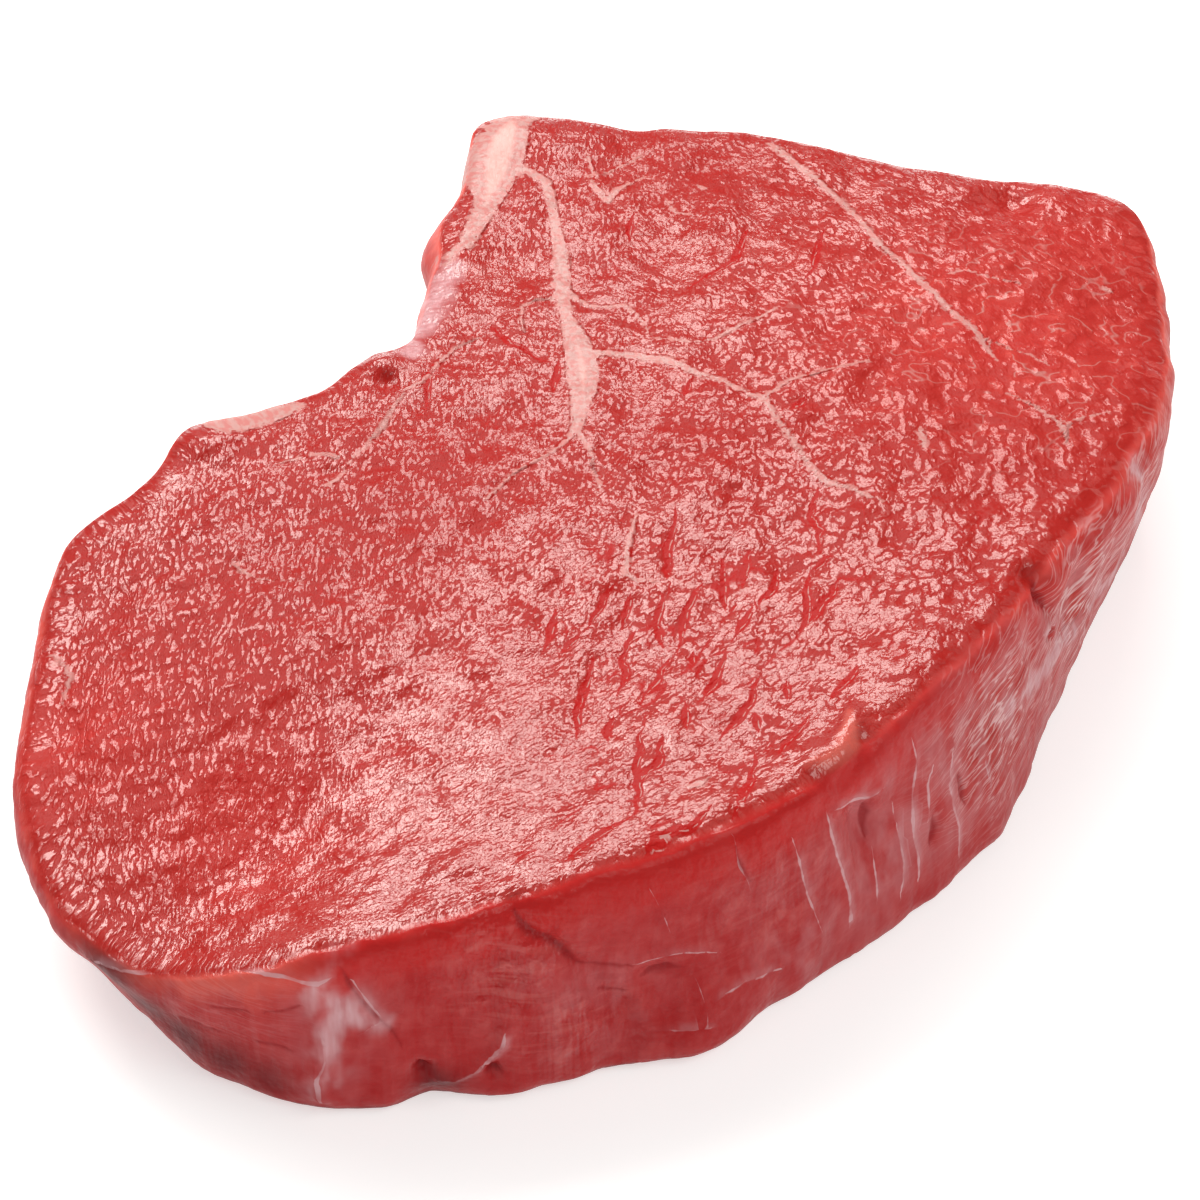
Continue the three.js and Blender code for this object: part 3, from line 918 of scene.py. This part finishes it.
# Smooth rises of the finish: where a value starts and stops to count, then what that gives, if not 0 to 1
RISES = {
    "top": (0.55, 0.78), "tight": (0.8, 1.5), "groove": (0.06, -0.03),
    "fine lines": (0.14, 0.02, 0.0, 0.9), "fat": (-0.25, 0.3), "pink fat": (0.4, 0.65),
    "bright fat": (1.5, 2.7), "chain width": (0.45, 0.6, 0.0, 0.06), "chain": (0.0, 0.04),
    "crack": (-0.05, 0.05), "glint": (0.42, 0.55, 0.0, 0.75), "glint line": (0.1, 0.04),
    "glint width": (0.25, 0.4), "glint reach": (-0.4, -0.1), "net": (0.05, 0.0, 0.0, 0.55),
    "net gaps": (0.5, 0.4), "net haze": (0.3, 0.0, 0.0, 0.3), "deep lean": (0.35, 0.65),
    "streaks": (0.3, 0.7), "hollow_shade": (0.5, 0.36, 0.0, 0.6), "strand": (0.52, 0.74),
    "fibre strand": (0.52, 0.7, 0.0, 0.6), "rim": (6.0, 1.0), "band": (9.0, 3.0),
    "veil": (0.35, 0.65, 0.04, 0.3), "thread": (0.13, 0.0, 0.0, 0.85),
    "weave haze": (0.38, 0.62, 0.0, 0.3), "foot": (2.0, 0.2, 0.0, 0.9), "pleat": (-0.03, 0.09),
    "pleat light": (0.3, 0.65, 0.2, 0.7), "pleat haze": (0.3, 0.65, 0.05, 0.3), "haze fade": (1.7, 0.0),
    "haze edge": (-0.12, 0.08), "haze reach": (-1.7, -0.1), "haze width": (0.08, 0.2),
    "furrow": (-0.4, 0.3, 0.0, 0.75), "film": (-1.5, 1.6), "lip": (-0.5, 0.7, 0.0, 0.7),
    "wet face": (0.0, 0.16, 1.0, 0.6), "plate height": (0.0, 0.35, -0.03, 0.015),
    "lean height": (-0.2, 0.25, 1.0, 0.3),
}

# Spreads of the finish: what a value from 0 to 1 is stretched to run over
SPREADS = {
    "woven tilt": (0.0, 0.15), "front tilt": (0.0, 0.2), "dryness": (-0.17, 0.34), "fat": (-1.25, 1.05),
    "crack": (0.06, -0.12), "pale crease": (1.0, 0.4), "strands": (0.08, 0.7), "depth": (-3.0, 3.0),
    "weave": (0.0, 0.7), "shade_and_dark_share": (0.0, 0.95), "pleat": (-0.25, 0.2), "furrow": (-0.4, 0.4),
    "film": (-3.0, 3.0), "film lines": (0.2, 1.1), "lip": (-0.6, 0.6), "dry fat": (0.0, 0.7),
    "wet wall": (0.12, 0.4), "wet": (1.0, 0.03), "flake height": (-0.005, 0.015),
    "swell height": (-0.25, 0.25), "wall height": (0.3, 1.0), "fibre height": (-0.35, 0.35),
}

# How much of the wall's streaks comes from the meat, and the rest from the pleats
MEAT_SHARE = 0.6


class Nodes:
    """Short calls for the nodes of one material."""

    def __init__(self, tree):
        self.tree = tree

    def add(self, kind, settings, inputs):
        """One node with its settings, each input linked or set."""
        made = self.tree.nodes.new(kind)
        for name, value in settings.items():
            setattr(made, name, value)
        for name, value in inputs.items():
            if isinstance(value, bpy.types.NodeSocket):
                self.tree.links.new(value, made.inputs[name])
            else:
                made.inputs[name].default_value = value
        return made

    def attribute(self, name, output):
        return self.add("ShaderNodeAttribute", {"attribute_name": name}, {}).outputs[output]

    def number(self, name):
        return self.attribute(name, "Fac")

    def parts(self, name):
        """The three parts of a vector of the mesh."""
        vector = self.attribute(name, "Vector")
        return self.add("ShaderNodeSeparateXYZ", {}, {"Vector": vector}).outputs

    def calc(self, operation, *values):
        return self.add("ShaderNodeMath", {"operation": operation}, dict(enumerate(values))).outputs[0]

    def times(self, first, second):
        return self.calc("MULTIPLY", first, second)

    def plus(self, first, second):
        return self.calc("ADD", first, second)

    def minus(self, first, second):
        return self.calc("SUBTRACT", first, second)

    def most(self, first, second):
        return self.calc("MAXIMUM", first, second)

    def rise(self, value, name):
        """A smooth rise of the table."""
        low, high, *ends = RISES[name]
        start, end = ends or (0.0, 1.0)
        inputs = {"Value": value, "From Min": low, "From Max": high, "To Min": start, "To Max": end}
        return self.add("ShaderNodeMapRange", {"interpolation_type": "SMOOTHSTEP"}, inputs).outputs[0]

    def spread(self, value, name):
        """A spread of the table."""
        low, high = SPREADS[name]
        return self.add("ShaderNodeMapRange", {}, {"Value": value, "To Min": low, "To Max": high}).outputs[0]

    def noise(self, name):
        """A noise of the table, flat where its stretch takes the third part of the vector out."""
        scale, detail, *reads = NOISES[name]
        source, factors = reads or FLAT
        inputs = {0: self.attribute(source, "Vector"), 1: factors}
        stretched = self.add("ShaderNodeVectorMath", {"operation": "MULTIPLY"}, inputs).outputs[0]
        inputs = {"Vector": stretched, "Scale": scale, "Detail": detail}
        kind = "3D" if factors[2] else "2D"
        return self.add("ShaderNodeTexNoise", {"noise_dimensions": kind}, inputs).outputs["Fac"]

    def shaken(self, value, shake, name):
        """A rise of the table, after noise has shaken the value by the spread of the same name."""
        return self.rise(self.plus(value, self.spread(shake, name)), name)

    def blend(self, share, first, second):
        """A colour between two."""
        inputs = {0: share, 6: first, 7: second}
        return self.add("ShaderNodeMix", {"data_type": "RGBA"}, inputs).outputs[2]

    def paint(self, colour, *coats):
        """A colour with coats laid over it one by one, each a share and a colour."""
        for share, coat in coats:
            colour = self.blend(share, colour, coat)
        return colour

    def between(self, share, first, second):
        """A number between two."""
        return self.add("ShaderNodeMix", {"data_type": "FLOAT"}, {0: share, 2: first, 3: second}).outputs[0]

    def stroke(self, name):
        """How far inside a stroke a place lies, sharper than the spacing of the mesh's points."""
        parts = self.parts(name)
        across = self.minus(parts["Z"], self.calc("ABSOLUTE", parts["Y"]))
        return self.calc("MINIMUM", across, self.plus(parts["X"], STROKE_SLACK))

    def glint(self, name):
        """A thin bright line along one side of a stroke, where the stroke is wide."""
        parts = self.parts(name)
        beside = self.calc("ABSOLUTE", self.minus(parts["Y"], GLINT_OFFSET))
        wide = self.times(self.rise(parts["Z"], "glint width"), self.rise(parts["X"], "glint reach"))
        return self.times(self.rise(beside, "glint line"), wide)

    def one_side(self, name):
        """A haze that starts sharply at the middle of a stroke and fades to one side."""
        parts = self.parts(name)
        beside = self.times(self.rise(parts["Y"], "haze fade"), self.rise(parts["Y"], "haze edge"))
        strength = self.times(self.rise(parts["X"], "haze reach"), self.rise(parts["Z"], "haze width"))
        return self.times(beside, strength)

    def folds(self, value):
        """Noise folded at its middle, so that sharp creases run where it crosses it."""
        return self.calc("ABSOLUTE", self.calc("MULTIPLY_ADD", value, 2.0, -1.0))

    def bump(self, height):
        """Relief of a height in millimetres."""
        return self.add("ShaderNodeBump", {}, {"Height": height, "Distance": MM, "Strength": 1.0}).outputs[0]


def beef_finish():
    """Raw beef: wet red lean with creases along the grain, pale fat, and film on the wall."""
    material = bpy.data.materials.new("raw_beef")
    material.use_nodes = True
    tree = material.node_tree
    tree.nodes.clear()
    n = Nodes(tree)
    front = n.number("front")
    weave = n.number("weave")
    rough = n.number("rough")
    # Paler lean, partly its own tone, partly painted light on shaded slopes at the left
    pale = n.number("pale")
    tilt = n.calc("ABSOLUTE", n.number("tilt"))
    wall_tilt = n.plus(n.spread(weave, "woven tilt"), n.spread(front, "front tilt"))
    top = n.rise(n.minus(tilt, wall_tilt), "top")

    tight = n.rise(n.number("tight"), "tight")
    plates = n.between(tight, n.folds(n.noise("loose plates")), n.folds(n.noise("tight plates")))
    patchy = n.noise("patches")
    dryness = n.plus(n.number("dry"), n.spread(patchy, "dryness"))
    flakes = n.folds(n.noise("flakes"))
    groove = n.most(n.rise(n.minus(plates, dryness), "groove"), n.rise(flakes, "fine lines"))
    ragged = n.noise("ragged")
    meat = n.noise("meat")
    fibres = n.noise("fibres")
    cloud = n.noise("cloud")

    chain_width = n.times(n.number("chain"), n.rise(patchy, "chain width"))
    chain = n.rise(n.minus(chain_width, n.folds(n.noise("chains"))), "chain")
    crack = n.times(n.most(n.shaken(n.stroke("crack"), plates, "crack"), chain), top)
    glint = n.times(n.glint("crack"), n.times(n.rise(ragged, "glint"), top))
    net_place = n.number("net")
    net_folds = n.folds(n.noise("net"))
    net_haze = n.times(n.rise(net_folds, "net haze"), net_place)
    net = n.times(n.rise(n.most(net_folds, n.rise(patchy, "net gaps")), "net"), net_place)
    deep = n.rise(n.noise("broad"), "deep lean")
    creases = n.times(groove, n.spread(pale, "pale crease"))
    lean = n.paint(
        LEAN, (deep, LEAN_DEEP), (pale, LEAN_PALE_AND_LIT), (net_haze, RIM), (creases, CREASE), (net, FAT),
    )

    streaks = n.rise(n.between(MEAT_SHARE, n.noise("pleats"), meat), "streaks")
    # Painted shade in the hollows of the torn meat, where its bump is low, in the cracks' red
    hollow_shade = n.times(n.rise(meat, "hollow_shade"), rough)
    streaked = n.most(n.rise(meat, "strand"), n.rise(fibres, "fibre strand"))
    strand = n.times(streaked, n.spread(rough, "strands"))
    depth = n.plus(n.number("below"), n.spread(cloud, "depth"))
    # Paler band under the edge: the wall's own colour there, partly painted light on the upper wall
    lit_rim_share = n.between(front, n.rise(depth, "rim"), n.rise(depth, "band"))
    rim = n.times(lit_rim_share, n.number("rim"))
    veil = n.times(n.number("veil"), n.rise(cloud, "veil"))
    weave_haze = n.times(weave, n.rise(cloud, "weave haze"))
    thread = n.times(n.rise(n.folds(fibres), "thread"), weave)
    # Painted shade at the lobe's foot and in the cleft, and darker red on the hidden back walls
    shade_and_dark_share = n.spread(n.number("shade_and_dark_back"), "shade_and_dark_share")
    # Painted contact shade, with juice, over the lowest two millimetres above the floor
    foot = n.rise(n.parts("place")["Z"], "foot")
    pleat_core = n.times(n.shaken(n.stroke("pleat"), meat, "pleat"), n.rise(meat, "pleat light"))
    pleat_haze = n.times(n.one_side("pleat"), n.rise(cloud, "pleat haze"))
    # Creases of the wall painted dark as shade
    furrow = n.shaken(n.stroke("furrow"), meat, "furrow")
    wall = n.paint(
        WALL, (streaks, WALL_PALE), (hollow_shade, CRACK_RED_AND_HOLLOW_SHADE), (rim, n.blend(front, RIM, BAND)), (strand, STRAND),
        (veil, FILM), (n.spread(weave, "weave"), CORAL), (weave_haze, FILM), (thread, THREAD),
        (shade_and_dark_share, DARK_RED_AND_SHADE), (foot, CONTACT_SHADE_AND_JUICE), (n.most(pleat_core, pleat_haze), FILM), (furrow, FURROW_SHADE),
    )

    film_lines = n.spread(n.noise("film lines"), "film lines")
    film = n.times(n.shaken(n.number("film"), cloud, "film"), film_lines)
    lip = n.shaken(n.number("lip"), cloud, "lip")
    fat = n.shaken(n.stroke("fat"), ragged, "fat")
    fat_reach = n.parts("fat")["X"]
    pink = n.rise(ragged, "pink fat")
    bright = n.rise(fat_reach, "bright fat")
    fat_colour = n.paint(FAT, (pink, FAT_PINK), (bright, FAT_BRIGHT))
    flesh = n.blend(top, wall, lean)
    colour = n.paint(flesh, (crack, CRACK_RED_AND_HOLLOW_SHADE), (glint, FAT), (film, FILM), (lip, FLAP), (fat, fat_colour))

    dry = n.most(n.most(crack, groove), n.spread(fat, "dry fat"))
    wet_face = n.rise(n.number("dry"), "wet face")
    wet = n.times(n.between(top, n.spread(rough, "wet wall"), wet_face), n.spread(dry, "wet"))

    plate_height = n.plus(n.rise(plates, "plate height"), n.spread(flakes, "flake height"))
    cut_height = n.plus(plate_height, n.spread(n.noise("swell"), "swell height"))
    lean_share = n.times(top, n.rise(fat_reach, "lean height"))
    wall_height = n.times(meat, n.spread(rough, "wall height"))
    fibre_height = n.times(n.spread(fibres, "fibre height"), weave)
    normal = n.bump(n.between(lean_share, n.plus(wall_height, fibre_height), cut_height))

    inputs = {
        "Base Color": colour, "Roughness": ROUGHNESS, "Normal": normal, "IOR": IOR,
        "Coat Weight": wet, "Coat Roughness": COAT_ROUGHNESS, "Coat IOR": COAT_IOR, "Coat Normal": normal,
    }
    shader = n.add("ShaderNodeBsdfPrincipled", {}, inputs)
    n.add("ShaderNodeOutputMaterial", {}, {"Surface": shader.outputs[0]})
    return material


def set_camera():
    """The camera that sees what the photo shows."""
    data = bpy.data.cameras.new("camera")
    data.lens = LENS
    data.sensor_width = SENSOR
    data.clip_start, data.clip_end = CLIP
    camera = bpy.data.objects.new("camera", data)
    camera.location = Vector(CAMERA_PLACE) * MM
    camera.rotation_euler = (math.pi / 2 - CAMERA_RISE, 0.0, 0.0)
    bpy.context.scene.collection.objects.link(camera)
    bpy.context.scene.camera = camera


# White floor, as a grey that also glows a little, and white surroundings
FLOOR_SIDE = 8.0
FLOOR_GREY = (0.65, 0.65, 0.65, 1)
FLOOR_ROUGHNESS = 0.9
FLOOR_GLOW = 0.56
WHITE = (1, 1, 1, 1)
SURROUNDINGS = 0.3

# Softboxes: azimuth from behind by way of the right, rise, distance, width, height and radiance
LIGHT_COLOUR = (1.0, 0.97, 0.93)
LIGHT_AIM = (0.0, 0.0, 20.0)
SOFTBOXES = {
    "back_softbox": (-15.0, 48.0, 900.0, 900.0, 560.0, 6.3),
    "left_softbox": (-50.0, 50.0, 900.0, 560.0, 460.0, 4.4),
    "front_fill": (130.0, 50.0, 1000.0, 700.0, 500.0, 3.3),
}


def add_softbox(name, azimuth, rise, distance, width, height, radiance):
    """A lit panel that faces the meat."""
    data = bpy.data.lights.new(name, "AREA")
    data.shape = "RECTANGLE"
    data.size = width * MM
    data.size_y = height * MM
    data.energy = radiance * math.pi * width * height * MM * MM
    data.color = LIGHT_COLOUR
    panel = bpy.data.objects.new(name, data)
    turn = math.radians(azimuth)
    lift = math.radians(rise)
    way = Vector((math.sin(turn) * math.cos(lift), math.cos(turn) * math.cos(lift), math.sin(lift)))
    panel.location = Vector(LIGHT_AIM) * MM + way * distance * MM
    panel.rotation_euler = way.to_track_quat("Z", "Y").to_euler()
    bpy.context.scene.collection.objects.link(panel)


def set_stage():
    """White floor, white surroundings and the lights."""
    bpy.ops.mesh.primitive_plane_add(size=FLOOR_SIDE)
    floor = bpy.context.object
    floor.name = "floor"
    paint = bpy.data.materials.new("floor_white")
    paint.use_nodes = True
    shader = paint.node_tree.nodes["Principled BSDF"]
    shader.inputs["Base Color"].default_value = FLOOR_GREY
    shader.inputs["Roughness"].default_value = FLOOR_ROUGHNESS
    shader.inputs["Specular IOR Level"].default_value = 0.0
    shader.inputs["Emission Color"].default_value = WHITE
    shader.inputs["Emission Strength"].default_value = FLOOR_GLOW
    floor.data.materials.append(paint)
    world = bpy.data.worlds.new("surroundings")
    world.use_nodes = True
    world.node_tree.nodes["Background"].inputs["Color"].default_value = WHITE
    world.node_tree.nodes["Background"].inputs["Strength"].default_value = SURROUNDINGS
    bpy.context.scene.world = world
    for name, panel in SOFTBOXES.items():
        add_softbox(name, *panel)
    bpy.context.scene.view_settings.view_transform = "Standard"


steak = make_slice()
steak.data.materials.append(beef_finish())
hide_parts("steak")
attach(steak, "root")
set_camera()
set_stage()
